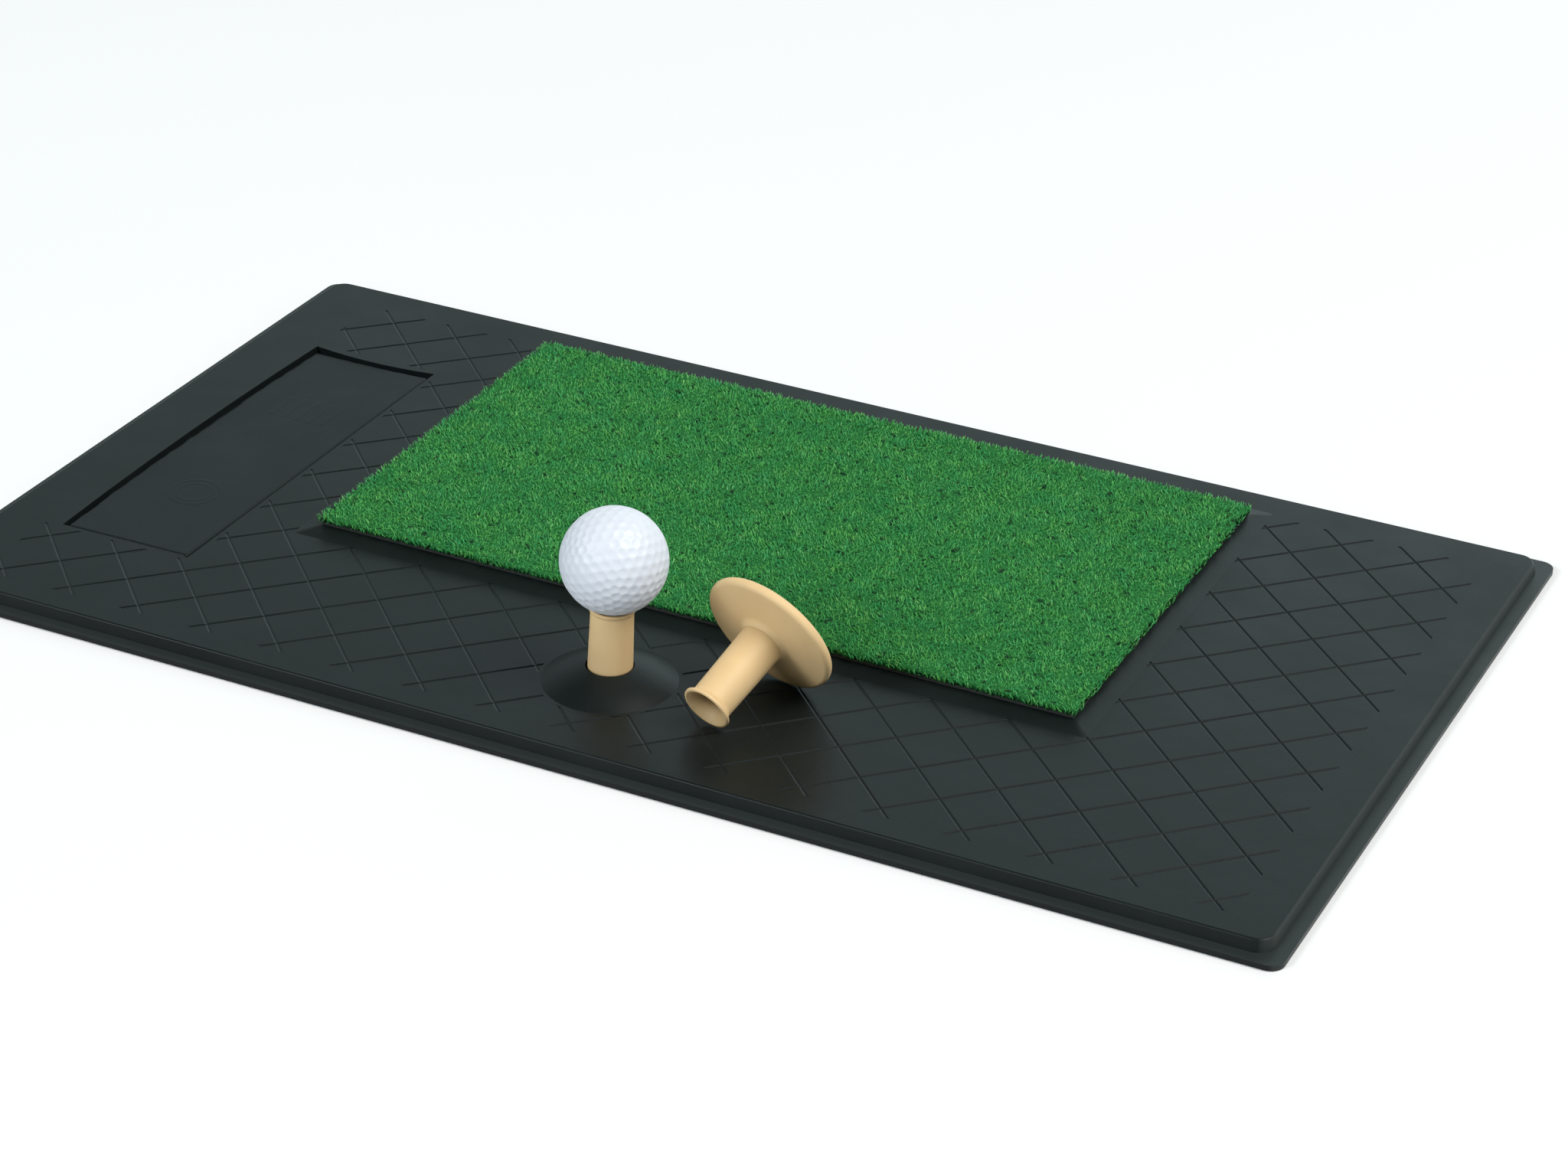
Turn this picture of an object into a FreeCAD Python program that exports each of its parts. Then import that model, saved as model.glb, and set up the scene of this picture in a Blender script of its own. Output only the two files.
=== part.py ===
"""Golf hitting mat: rubber base, turf strip, badge plate, two rubber tees and a golf ball.

Millimetres. Origin: centre of the underside. +X runs along the long side, +Y runs away from
the side where the tee stands, +Z is up.
"""
import FreeCAD, Part
import math
import os

Vector = FreeCAD.Vector

# ---- rubber base -----------------------------------------------------------------------------
MAT_LENGTH = 600.0
MAT_WIDTH = 340.0
MAT_HEIGHT = 7.0
MAT_CORNER_R = 6.0
FLANGE_WIDTH = 5.5
FLANGE_HEIGHT = 2.2
SLOPE_RUN = 1.5
SLAB_CORNER_R = 8.0
SLAB_EDGE_R = 1.0
EMBED = 0.5
CUT_OVERRUN = 1.0

# ---- diamond grooves in the top face ---------------------------------------------------------
GROOVE_PITCH = 33.0
GROOVE_CROSSINGS = {45: 17.2, -45: 20.9}
GROOVE_WIDTH = 1.5
GROOVE_DEPTH = 0.33
GROOVE_SHORTEST = 12.0
GROOVED_X = (-271.0, 275.5)
GROOVED_Y = (-151.0, 145.0)
GROOVE_TO_RECESS = 2.0
GROOVE_TO_DOME = 1.5

# ---- turf strip and the low platform under it ------------------------------------------------
TURF_LENGTH = 340.0
TURF_WIDTH = 194.0
TURF_CENTRE = (3.5, 42.5)
PLATFORM_HEIGHT = 1.8
PLATFORM_MARGIN = 8.5
PLATFORM_FOOT_CORNER_R = 2.5
PLATFORM_TOP_CORNER_R = 1.0
TURF_GLUE_THICKNESS = 0.3
TURF_GLUE_INSET = 4.0
LATEX_THICKNESS = 0.8
BACKING_THICKNESS = 0.5
PILE_HEIGHT = 4.2
PILE_OVERHANG = 1.0

# ---- badge plate and its recess --------------------------------------------------------------
RECESS_SIZE = (62.0, 199.0)
RECESS_CENTRE = (-232.5, -3.0)
RECESS_DEPTH = 3.0
RECESS_LEFT_BOW = 2.2
RECESS_FAR_BOW = 2.6
PLATE_CORNER_R = 1.5
PLATE_GAP = 1.3
PLATE_THICKNESS = 2.2
PLATE_GLUE_THICKNESS = 0.2
PLATE_GLUE_INSET = 4.0

# ---- tee housing: a low dome over a pocket in the underside ----------------------------------
TEE_AXIS = (-0.3, -108.7)
DOME_R = 27.2
DOME_RISE = 7.5
TEE_HOLE_R = 9.7
POCKET_R = 29.2
POCKET_CLEARANCE = 0.5

# ---- rubber tees: the one in use has the smaller lip, and its stem leans a little -------------
TEE_FOOT_R = 28.6
TEE_FOOT_THICKNESS = 4.4
TEE_FOOT_EDGE_R = 2.0
TEE_FOOT_CROWN = 1.4
TEE_BOSS_R = 12.2
TEE_FILLET_R = 3.0
TEE_FILLET_SWEEP = 75.0
TEE_STEM_BASE_R = 9.15
TEE_NECK_R = 8.55
TEE_LIP_THICKNESS = 1.2
TEE_LIP_CHAMFER = 0.35
TEE_BORE_R = 5.5
TEE_CUP_DEPTH = 7.0
TEE_CUP_SAG = 0.8
TEE_FLOOR_GAP = 0.1
TEE_IN_USE = {"length": 39.9, "lip_r": 9.3, "cup_r": 8.7, "flare_height": 2.8, "flare_sag": 0.2}
SPARE_TEE = {"length": 44.3, "lip_r": 10.3, "cup_r": 9.3, "flare_height": 4.0, "flare_sag": 0.45}
TEE_LEAN = 1.9
TEE_LEAN_HEADING = 25.6

# ---- spare tee lying on the base -------------------------------------------------------------
SPARE_TEE_PLACE = (59.5, -88.8)
SPARE_TEE_HEADING = -103.0
REST_GAP = 0.3

# ---- golf ball -------------------------------------------------------------------------------
BALL_R = 21.335
COVER_THICKNESS = 1.6
CORE_GAP = 0.03
BALL_SEAT_GAP = 0.35

Z_AXIS = Vector(0, 0, 1)
ORIGIN = Vector(0, 0, 0)


def box_at(centre, size, z_low, z_high):
    """An upright block centred on (x, y)."""
    corner = Vector(centre[0] - size[0] / 2, centre[1] - size[1] / 2, z_low)
    return Part.makeBox(size[0], size[1], z_high - z_low, corner)


def rounded_outline(centre, size, radius, z):
    """A closed wire: a rectangle with round corners in a level plane."""
    half_x = size[0] / 2
    half_y = size[1] / 2
    edges = []
    corners = [(1, -1), (1, 1), (-1, 1), (-1, -1)]
    for i, (sx, sy) in enumerate(corners):
        arc_centre = Vector(centre[0] + sx * (half_x - radius), centre[1] + sy * (half_y - radius), z)
        start = -90 + 90 * i
        edges.append(Part.makeCircle(radius, arc_centre, Z_AXIS, start, start + 90))
    joined = []
    for i, arc in enumerate(edges):
        following = edges[(i + 1) % len(edges)]
        joined.append(arc)
        joined.append(Part.makeLine(arc.lastVertex().Point, following.firstVertex().Point))
    return Part.Wire(joined)


def rounded_block(centre, size, radius, z_low, z_high):
    """An upright block with round vertical corners."""
    face = Part.Face(rounded_outline(centre, size, radius, z_low))
    return face.extrude(Vector(0, 0, z_high - z_low))


def tapered_block(centre, low_size, low_radius, high_size, high_radius, z_low, z_high):
    """A block whose four sides and corners slope between two rounded rectangles."""
    low = rounded_outline(centre, low_size, low_radius, z_low)
    high = rounded_outline(centre, high_size, high_radius, z_high)
    return Part.makeLoft([low, high], True, True)


def grown(size, margin):
    """The size of a rectangle with a margin added all round."""
    return (size[0] + 2 * margin, size[1] + 2 * margin)


def turned(edges):
    """A solid of revolution about the Z axis from a closed profile in the XZ plane."""
    profile = Part.Face(Part.Wire(Part.__sortEdges__(edges)))
    return profile.revolve(ORIGIN, Z_AXIS, 360)


def point(radius, z):
    """A profile point in the XZ plane."""
    return Vector(radius, 0, z)


def polyline(points):
    """Straight edges through profile points."""
    return [Part.makeLine(a, b) for a, b in zip(points, points[1:])]


def bowed(start, end, sag):
    """An arc between two profile points. Its middle stands off the chord by sag, on the left."""
    chord = end - start
    left = Vector(-chord.z, 0, chord.x).normalize()
    return Part.Arc(start, (start + end) * 0.5 + left * sag, end).toShape()


def platform_top():
    return MAT_HEIGHT + PLATFORM_HEIGHT


def platform_foot_size():
    return grown((TURF_LENGTH, TURF_WIDTH), PLATFORM_MARGIN)


def slab():
    """The thin rim flange with the raised slab on it."""
    outer = (MAT_LENGTH, MAT_WIDTH)
    flange = rounded_block((0, 0), outer, MAT_CORNER_R, 0, FLANGE_HEIGHT)
    foot = grown(outer, -FLANGE_WIDTH)
    top = grown(foot, -SLOPE_RUN)
    top_r = SLAB_CORNER_R - SLOPE_RUN
    raised = tapered_block((0, 0), foot, SLAB_CORNER_R, top, top_r, FLANGE_HEIGHT, MAT_HEIGHT)
    top_edges = [e for e in raised.Edges if e.BoundBox.ZMin > MAT_HEIGHT - 1e-6]
    raised = raised.makeFillet(SLAB_EDGE_R, top_edges)
    return flange.fuse(raised)


def platform():
    """The low sloped platform that carries the turf."""
    top = (TURF_LENGTH, TURF_WIDTH)
    top_r = PLATFORM_TOP_CORNER_R
    run = PLATFORM_MARGIN * (PLATFORM_HEIGHT + EMBED) / PLATFORM_HEIGHT
    foot = grown(top, run)
    foot_r = PLATFORM_FOOT_CORNER_R
    z_low = MAT_HEIGHT - EMBED
    return tapered_block(TURF_CENTRE, foot, foot_r, top, top_r, z_low, platform_top())


def dome_cap_r():
    """Radius of the sphere that the dome's top belongs to."""
    return (DOME_R ** 2 + DOME_RISE ** 2) / (2 * DOME_RISE)


def dome():
    """The round swelling over the tee's foot: a cap of a sphere, sunk into the slab."""
    apex = point(0, MAT_HEIGHT + DOME_RISE)
    rim = point(DOME_R, MAT_HEIGHT)
    sphere_centre = point(0, MAT_HEIGHT + DOME_RISE - dome_cap_r())
    half_angle = math.asin(DOME_R / dome_cap_r()) / 2
    middle = sphere_centre + point(math.sin(half_angle), math.cos(half_angle)) * dome_cap_r()
    z_low = MAT_HEIGHT - EMBED
    edges = [Part.Arc(apex, middle, rim).toShape()]
    edges += polyline([rim, point(DOME_R, z_low), point(0, z_low), apex])
    return turned(edges).translate(Vector(TEE_AXIS[0], TEE_AXIS[1], 0))


def tee_pocket():
    """The cut in the underside that takes the tee's foot, and the hole for its stem."""
    roof_z = TEE_FLOOR_GAP + TEE_FOOT_THICKNESS + POCKET_CLEARANCE
    boss_z = roof_z + TEE_FOOT_CROWN
    boss_r = TEE_BOSS_R + POCKET_CLEARANCE
    neck_z = boss_z + TEE_FILLET_R
    above = MAT_HEIGHT + DOME_RISE + CUT_OVERRUN
    below = -CUT_OVERRUN
    profile = [point(0, below), point(POCKET_R, below), point(POCKET_R, roof_z), point(boss_r, boss_z)]
    profile += [point(TEE_HOLE_R, neck_z), point(TEE_HOLE_R, above), point(0, above), point(0, below)]
    return turned(polyline(profile)).translate(Vector(TEE_AXIS[0], TEE_AXIS[1], 0))


def groove_region():
    """The part of the top face that carries grooves, as a thin solid through their depth."""
    z_low = MAT_HEIGHT - GROOVE_DEPTH
    z_high = MAT_HEIGHT + CUT_OVERRUN
    size = (GROOVED_X[1] - GROOVED_X[0], GROOVED_Y[1] - GROOVED_Y[0])
    region = box_at((sum(GROOVED_X) / 2, sum(GROOVED_Y) / 2), size, z_low, z_high)
    under = z_low - CUT_OVERRUN
    over = z_high + CUT_OVERRUN
    keep_clear = [box_at(TURF_CENTRE, platform_foot_size(), under, over)]
    recess_size = grown(RECESS_SIZE, GROOVE_TO_RECESS)
    keep_clear.append(box_at(RECESS_CENTRE, recess_size, under, over))
    recess_left = RECESS_CENTRE[0] - RECESS_SIZE[0] / 2
    strip_near = RECESS_CENTRE[1] - recess_size[1] / 2
    strip_centre = ((recess_left - MAT_LENGTH / 2) / 2, strip_near + MAT_WIDTH / 2)
    strip_size = (recess_left + MAT_LENGTH / 2, MAT_WIDTH)
    keep_clear.append(box_at(strip_centre, strip_size, under, over))
    dome_base = Vector(TEE_AXIS[0], TEE_AXIS[1], under)
    keep_clear.append(Part.makeCylinder(DOME_R + GROOVE_TO_DOME, over - under, dome_base))
    for blocker in keep_clear:
        region = region.cut(blocker)
    return region


def groove_bar(reach):
    """A V-shaped bar along X, through the origin, with its open side at the mat's top."""
    half = GROOVE_WIDTH / 2
    outline = [(-half, 0), (0, -GROOVE_DEPTH), (half, 0), (half, CUT_OVERRUN), (-half, CUT_OVERRUN)]
    corners = [Vector(-reach / 2, y, MAT_HEIGHT + z) for y, z in outline]
    return Part.Face(Part.makePolygon(corners + corners[:1])).extrude(Vector(reach, 0, 0))


def grooves():
    """Two families of straight grooves, at plus and minus 45 degrees, clipped to their region."""
    reach = GROOVED_X[1] - GROOVED_X[0] + GROOVED_Y[1] - GROOVED_Y[0]
    region = groove_region()
    lines = int(reach / 2 / GROOVE_PITCH) + 1
    runs = []
    for turn, first_crossing in GROOVE_CROSSINGS.items():
        for n in range(-lines, lines + 1):
            bar = groove_bar(reach)
            bar.rotate(ORIGIN, Z_AXIS, turn)
            bar.translate(Vector(0, first_crossing + n * GROOVE_PITCH, 0))
            clipped = region.common(bar).Solids
            runs += [run for run in clipped if run.BoundBox.DiagonalLength > GROOVE_SHORTEST]
    return runs


def badge_recess():
    """The cut for the badge plate: its left wall bows outward and its far wall bows inward."""
    z = MAT_HEIGHT - RECESS_DEPTH
    left = RECESS_CENTRE[0] - RECESS_SIZE[0] / 2
    right = left + RECESS_SIZE[0]
    near = RECESS_CENTRE[1] - RECESS_SIZE[1] / 2
    far = near + RECESS_SIZE[1]
    near_left = Vector(left, near, z)
    near_right = Vector(right, near, z)
    far_right = Vector(right, far, z)
    far_left = Vector(left, far, z)
    far_middle = Vector(RECESS_CENTRE[0], far - RECESS_FAR_BOW, z)
    left_middle = Vector(left - RECESS_LEFT_BOW, RECESS_CENTRE[1], z)
    edges = [Part.makeLine(near_left, near_right), Part.makeLine(near_right, far_right)]
    edges.append(Part.Arc(far_right, far_middle, far_left).toShape())
    edges.append(Part.Arc(far_left, left_middle, near_left).toShape())
    return Part.Face(Part.Wire(edges)).extrude(Vector(0, 0, RECESS_DEPTH + CUT_OVERRUN))


def rubber_mat():
    """The moulded base with its flange, platform, dome, grooves, recess and tee pocket."""
    base = slab().fuse([platform(), dome()])
    return base.cut([tee_pocket(), badge_recess()] + grooves()).removeSplitter()


def plate_glue():
    """The double-sided sheet that holds the badge plate in its recess."""
    z = MAT_HEIGHT - RECESS_DEPTH
    size = grown(RECESS_SIZE, -PLATE_GLUE_INSET)
    return box_at(RECESS_CENTRE, size, z, z + PLATE_GLUE_THICKNESS)


def badge_plate():
    """A plain thin plate, a little smaller than its recess and clear of its bowed far wall."""
    z = MAT_HEIGHT - RECESS_DEPTH + PLATE_GLUE_THICKNESS
    size = (RECESS_SIZE[0] - 2 * PLATE_GAP, RECESS_SIZE[1] - 2 * PLATE_GAP - RECESS_FAR_BOW)
    centre = (RECESS_CENTRE[0], RECESS_CENTRE[1] - RECESS_FAR_BOW / 2)
    return rounded_block(centre, size, PLATE_CORNER_R, z, z + PLATE_THICKNESS)


def turf_layers():
    """Glue, latex coating, woven backing and pile, stacked from the platform up."""
    layers = {}
    z = platform_top()
    stack = [("turf_glue", TURF_GLUE_THICKNESS, -TURF_GLUE_INSET)]
    stack += [("turf_latex_coating", LATEX_THICKNESS, 0)]
    stack += [("turf_woven_backing", BACKING_THICKNESS, 0)]
    stack += [("turf_pile", PILE_HEIGHT, PILE_OVERHANG)]
    for name, thickness, margin in stack:
        size = grown((TURF_LENGTH, TURF_WIDTH), margin)
        layers[name] = box_at(TURF_CENTRE, size, z, z + thickness)
        z += thickness
    return layers


def tee_fillet():
    """The foot's boss runs into the stem along this arc: its start, middle and end points."""
    centre = point(TEE_BOSS_R, TEE_FOOT_THICKNESS + TEE_FOOT_CROWN + TEE_FILLET_R)
    points = []
    for share in (0, 0.5, 1):
        angle = math.radians(TEE_FILLET_SWEEP * share)
        points.append(centre - point(math.sin(angle), math.cos(angle)) * TEE_FILLET_R)
    return points


def tee_foot():
    """The round foot, without its bore: a rounded disc with a low crown, a boss and a fillet."""
    foot_side = TEE_FOOT_THICKNESS - TEE_FOOT_EDGE_R
    corner_at = TEE_FOOT_R - TEE_FOOT_EDGE_R
    diagonal = TEE_FOOT_EDGE_R * math.sqrt(0.5)
    low_arc = Part.Arc(
        point(corner_at, 0),
        point(corner_at + diagonal, TEE_FOOT_EDGE_R - diagonal),
        point(TEE_FOOT_R, TEE_FOOT_EDGE_R),
    )
    high_arc = Part.Arc(
        point(TEE_FOOT_R, foot_side),
        point(corner_at + diagonal, foot_side + diagonal),
        point(corner_at, TEE_FOOT_THICKNESS),
    )
    fillet_points = tee_fillet()
    edges = polyline([point(0, 0), point(corner_at, 0)])
    edges += [low_arc.toShape()]
    edges += polyline([point(TEE_FOOT_R, TEE_FOOT_EDGE_R), point(TEE_FOOT_R, foot_side)])
    edges += [high_arc.toShape()]
    edges += polyline([point(corner_at, TEE_FOOT_THICKNESS), fillet_points[0]])
    edges += [Part.Arc(*fillet_points).toShape()]
    edges += polyline([fillet_points[2], point(0, fillet_points[2].z), point(0, 0)])
    return turned(edges)


def tee_stem(form):
    """The tapered stem with its flared lip, without its bore. It starts inside the foot."""
    length = form["length"]
    root = point(TEE_STEM_BASE_R, TEE_FOOT_THICKNESS)
    neck = point(TEE_NECK_R, length - form["flare_height"])
    lip_low = point(form["lip_r"], length - TEE_LIP_THICKNESS)
    lip_high = point(form["lip_r"], length - TEE_LIP_CHAMFER)
    lip_top = point(form["lip_r"] - TEE_LIP_CHAMFER, length)
    edges = polyline([point(0, root.z), root, neck])
    edges += [bowed(neck, lip_low, form["flare_sag"])]
    edges += polyline([lip_low, lip_high, lip_top, point(0, length), point(0, root.z)])
    return turned(edges)


def tee_bore(form):
    """The through bore, opening into a cup at the lip."""
    length = form["length"]
    cup_top = point(form["cup_r"], length)
    cup_bottom = point(TEE_BORE_R, length - TEE_CUP_DEPTH)
    above = length + CUT_OVERRUN
    edges = polyline([cup_bottom, point(TEE_BORE_R, -CUT_OVERRUN), point(0, -CUT_OVERRUN)])
    edges += polyline([point(0, -CUT_OVERRUN), point(0, above), point(form["cup_r"], above), cup_top])
    edges += [bowed(cup_bottom, cup_top, TEE_CUP_SAG)]
    return turned(edges)


def leaning(shape, lean):
    """The shape tipped towards the lean heading, about the place where the stem leaves the foot."""
    heading = math.radians(TEE_LEAN_HEADING)
    across = Vector(-math.sin(heading), math.cos(heading), 0)
    shape.rotate(Vector(0, 0, tee_fillet()[2].z), across, lean)
    return shape


def rubber_tee(form, lean):
    """A tee whose foot lies on z = 0, on the Z axis, with its stem leaning by an angle."""
    solid = tee_foot().fuse(leaning(tee_stem(form), lean))
    return solid.cut(leaning(tee_bore(form), lean))


def tee():
    """The tee in use: its foot is in the pocket and its stem comes up through the dome."""
    shape = rubber_tee(TEE_IN_USE, TEE_LEAN)
    return shape.translate(Vector(TEE_AXIS[0], TEE_AXIS[1], TEE_FLOOR_GAP))


def spare_tee():
    """A tee lying on its side, resting on the edge of its foot and on its lip."""
    rim_height = TEE_FOOT_THICKNESS - TEE_FOOT_EDGE_R
    rim_r = TEE_FOOT_R - TEE_FOOT_EDGE_R
    run = SPARE_TEE["length"] - rim_height
    drop = rim_r - SPARE_TEE["lip_r"]
    tip = math.atan2(drop, run) + math.asin(TEE_FOOT_EDGE_R / math.hypot(run, drop))
    shape = rubber_tee(SPARE_TEE, 0).translate(Vector(0, 0, -TEE_FOOT_THICKNESS / 2))
    shape.rotate(ORIGIN, Vector(0, 1, 0), 90 + math.degrees(tip))
    shape.rotate(ORIGIN, Z_AXIS, SPARE_TEE_HEADING)
    lift = MAT_HEIGHT + REST_GAP - shape.optimalBoundingBox().ZMin
    return shape.translate(Vector(SPARE_TEE_PLACE[0], SPARE_TEE_PLACE[1], lift))


def ball_centre():
    """The ball sits on the inner edge of the tee's lip, on the leaning axis of the stem."""
    seat = math.sqrt(BALL_R ** 2 - TEE_IN_USE["cup_r"] ** 2) + BALL_SEAT_GAP
    place = leaning(Part.Vertex(0, 0, TEE_IN_USE["length"] + seat), TEE_LEAN)
    return place.Point + Vector(TEE_AXIS[0], TEE_AXIS[1], TEE_FLOOR_GAP)


def ball_parts():
    """A two-piece ball: a solid core inside a thin cover."""
    inner_r = BALL_R - COVER_THICKNESS
    centre = ball_centre()
    outer = Part.makeSphere(BALL_R, centre)
    cover = outer.cut(Part.makeSphere(inner_r, centre))
    core = Part.makeSphere(inner_r - CORE_GAP, centre)
    return {"ball_cover": cover, "ball_core": core}


def write(name, shape):
    """Saves one node as parts/NAME.step and says what it measures."""
    if not shape.isValid():
        raise ValueError(name + " isn't a valid solid")
    box = shape.optimalBoundingBox()
    sizes = [round(v, 2) for v in (box.XMin, box.XMax, box.YMin, box.YMax, box.ZMin, box.ZMax)]
    print(name, "solids", len(shape.Solids), "volume", round(shape.Volume, 1), "box", sizes)
    shape.exportStep(os.path.join("parts", name + ".step"))


def main():
    os.makedirs("parts", exist_ok=True)
    nodes = {"rubber_mat": rubber_mat(), "plate_glue": plate_glue(), "badge_plate": badge_plate()}
    nodes.update(turf_layers())
    nodes.update({"tee": tee(), "spare_tee": spare_tee()})
    nodes.update(ball_parts())
    for name, shape in nodes.items():
        write(name, shape)


main()
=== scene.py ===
import math

import bmesh
import bpy
import numpy as np
from mathutils import Matrix, Vector


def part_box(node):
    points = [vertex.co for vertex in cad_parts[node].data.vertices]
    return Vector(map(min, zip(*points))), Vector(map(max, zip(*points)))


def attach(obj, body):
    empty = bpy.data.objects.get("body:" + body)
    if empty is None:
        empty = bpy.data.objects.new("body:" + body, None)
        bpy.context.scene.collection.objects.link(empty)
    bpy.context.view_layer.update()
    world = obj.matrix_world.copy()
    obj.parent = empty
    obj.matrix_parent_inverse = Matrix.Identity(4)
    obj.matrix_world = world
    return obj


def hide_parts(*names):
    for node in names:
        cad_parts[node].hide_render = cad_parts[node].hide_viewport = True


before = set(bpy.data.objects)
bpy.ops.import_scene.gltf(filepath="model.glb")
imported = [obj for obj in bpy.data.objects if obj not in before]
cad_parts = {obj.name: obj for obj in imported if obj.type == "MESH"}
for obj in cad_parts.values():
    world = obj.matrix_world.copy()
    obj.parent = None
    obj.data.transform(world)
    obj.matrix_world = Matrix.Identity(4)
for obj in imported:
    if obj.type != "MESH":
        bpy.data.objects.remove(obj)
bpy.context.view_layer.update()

MM = 0.001

# ---- camera ----------------------------------------------------------------------------------
CAMERA_AZIMUTH = math.radians(25.574)
CAMERA_ELEVATION = math.radians(28.648)
CAMERA_ROLL = math.radians(1.267)
CAMERA_TARGET = Vector((0.021487, 0.001853, 0.0))
CAMERA_DISTANCE = 1.62481
CAMERA_LENS = 90.40
CAMERA_SENSOR = 36.0
CAMERA_CLIP = (0.05, 60.0)

# ---- turf: lengths in metres, angles in radians, cells along X and Y -------------------------
YARN_SEED = 41
YARN_PITCH = 1.1 * MM
YARN_RADIUS = 0.36 * MM
YARN_RADIUS_RANGE = (0.75, 1.2)
YARN_HEIGHT = (2.2 * MM, 3.7 * MM)
YARN_HEIGHT_CELLS = (70, 40)
YARN_HEIGHT_PATCHES = 0.3
YARN_HEIGHT_SCATTER = 0.28
YARN_LEAN = (0.3 * MM, 2.0 * MM)
YARN_BEND = 1.5
YARN_DROOP = 0.18
YARN_CURL = 0.45 * MM
YARN_CURL_RANGE = (0.3, 1.3)
YARN_TURNS = (0.35, 0.95)
YARN_ROOT_HEIGHT = 0.9 * MM
YARN_RING_STEPS = (0.0, 0.38, 0.74)
YARN_RING_TAPER = (1.0, 0.95, 0.70)
YARN_STRIPS = 8
HEADING_MEAN = -1.2
HEADING_DRIFT = 2.6
HEADING_DRIFT_CELLS = (42, 24)
HEADING_CLUMPS = 1.8
HEADING_CLUMP_CELLS = (96, 54)
HEADING_SCATTER = 0.9
FRINGE_ROWS = 3
FRINGE_LEAN_SHARE = 0.8
FRINGE_EXTRA_LEAN = 0.4 * MM
FRINGE_ROOT_DROP = 0.8 * MM
FRINGE_SCATTER = 0.55
THATCH_SEED = 42
THATCH_CELL = 1.3 * MM
THATCH_JITTER = 0.3
THATCH_HEIGHT = 2.3 * MM
THATCH_RELIEF = 0.5 * MM
THATCH_INSET = 1.2 * MM
TURF_SPECK_SIZE = 3.4 * MM

# ---- rubber: heights and places of the mat, and how far the tees' hollows are shaded ---------
# FLANGE_LEVEL and RIGHT_END mark where the mat's colour carries painted sheen and painted light.
FLANGE_LEVEL = 2.3 * MM
FLANGE_BLEND = 0.2 * MM
RIGHT_END = 289.0 * MM
RIGHT_END_BLEND = 0.5 * MM
# How far the painted shade in the tees' hollows reaches.
TEE_HOLLOW_REACH = 20.0 * MM

# ---- badge plate: lengths in metres, cells along X and Y, places as shares of its length ------
PLATE_SEED = 7
PLATE_CELL = 0.9 * MM
PLATE_CORNER_R = 1.5 * MM
PLATE_EDGE_DROP = 0.25 * MM
PLATE_WARP = 0.12 * MM
PLATE_WARP_CELLS = (2, 5)
PLATE_TILT = 0.3 * MM
PLATE_SAG = 0.2 * MM
PLATE_BOW = 1.3 * MM
PLATE_BOW_FADE = 6
PLATE_RAGGED = 0.5 * MM
PLATE_LEFT_CELLS = (8, 40)
PLATE_LEFT_FADE = 4
PLATE_FAR_CELLS = (14, 60)
PLATE_FAR_FADE = 12
PLATE_RELIEF = 0.10 * MM
PLATE_RING_R = (8.0 * MM, 11.0 * MM)
PLATE_RING_WIDTH = 1.0 * MM
PLATE_RING_PLACE = -0.24
PLATE_RIB_PLACE = 0.22
PLATE_RIB_COUNT = 5
PLATE_RIB_PITCH = 6.5 * MM
PLATE_RIB_WIDTH = 1.6 * MM
PLATE_RIB_LENGTH = 20.0 * MM
PLATE_RIB_SLOPE = 1.0 * MM

# ---- golf ball -------------------------------------------------------------------------------
DIMPLE_FREQUENCY = 6
DIMPLE_RADIUS = 1.85 * MM
DIMPLE_DEPTH = 0.31 * MM
BALL_SUBDIVISIONS = 7
BALL_BATCHES = 16
BALL_TURN = (0.35, 0.62, 0.2)

# ---- studio: angles in degrees, distances and sizes in metres, power in watts ----------------
FLOOR_REACH = 12.0
FLOOR_LEVEL = -0.3 * MM
LIGHT_DISTANCE = 8.0
KEY = {"azimuth": 93, "elevation": 57, "size": 4.9, "watts": 660.0, "colour": (1.0, 0.985, 0.96)}
FRONT_LEFT = {
    "azimuth": -32, "elevation": 31, "size": 2.8, "watts": 312.0, "colour": (0.90, 0.955, 1.0),
}
# The surroundings' colour against the height of a direction, 0 level to 1 overhead.
WORLD_BAND = [
    (0.00, (0.42, 0.505, 0.515)),
    (0.24, (0.42, 0.505, 0.515)),
    (0.36, (0.80, 0.955, 0.985)),
    (0.43, (0.80, 0.955, 0.985)),
    (0.57, (0.47, 0.565, 0.575)),
    (0.67, (0.15, 0.175, 0.18)),
    (0.76, (0.02, 0.023, 0.024)),
]
# Their strength: two places along an axis of the direction, -1 to 1, and the strengths there.
WORLD_LEFT = (-0.56, 0.0, 0.86, 2.5)
WORLD_RIGHT = (0.0, 0.5, 1.0, 0.4)
WORLD_FRONT_TO_BACK = (-0.2, 0.4, 0.45, 1.0)


# ---- node helpers ----------------------------------------------------------------------------
def new_material(name, **constants):
    """A Principled material whose constant values sit on the shader's own sockets."""
    material = bpy.data.materials.new(name)
    material.use_nodes = True
    tree = material.node_tree
    shader = tree.nodes["Principled BSDF"]
    for socket, value in constants.items():
        shader.inputs[socket.replace("_", " ")].default_value = value
    return material, tree, shader


def add_node(tree, kind, inputs=None, **settings):
    """A node with its settings and inputs. An input given as a socket is linked."""
    made = tree.nodes.new(kind)
    for key, value in settings.items():
        setattr(made, key, value)
    for key, value in (inputs or {}).items():
        if isinstance(value, bpy.types.NodeSocket):
            tree.links.new(value, made.inputs[key])
        else:
            made.inputs[key].default_value = value
    return made


def object_position(tree):
    """The place of a point in the part's own frame."""
    return add_node(tree, "ShaderNodeTexCoord").outputs["Object"]


def axes(tree, vector):
    """A vector's X, Y and Z as sockets."""
    return add_node(tree, "ShaderNodeSeparateXYZ", {"Vector": vector}).outputs


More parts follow.
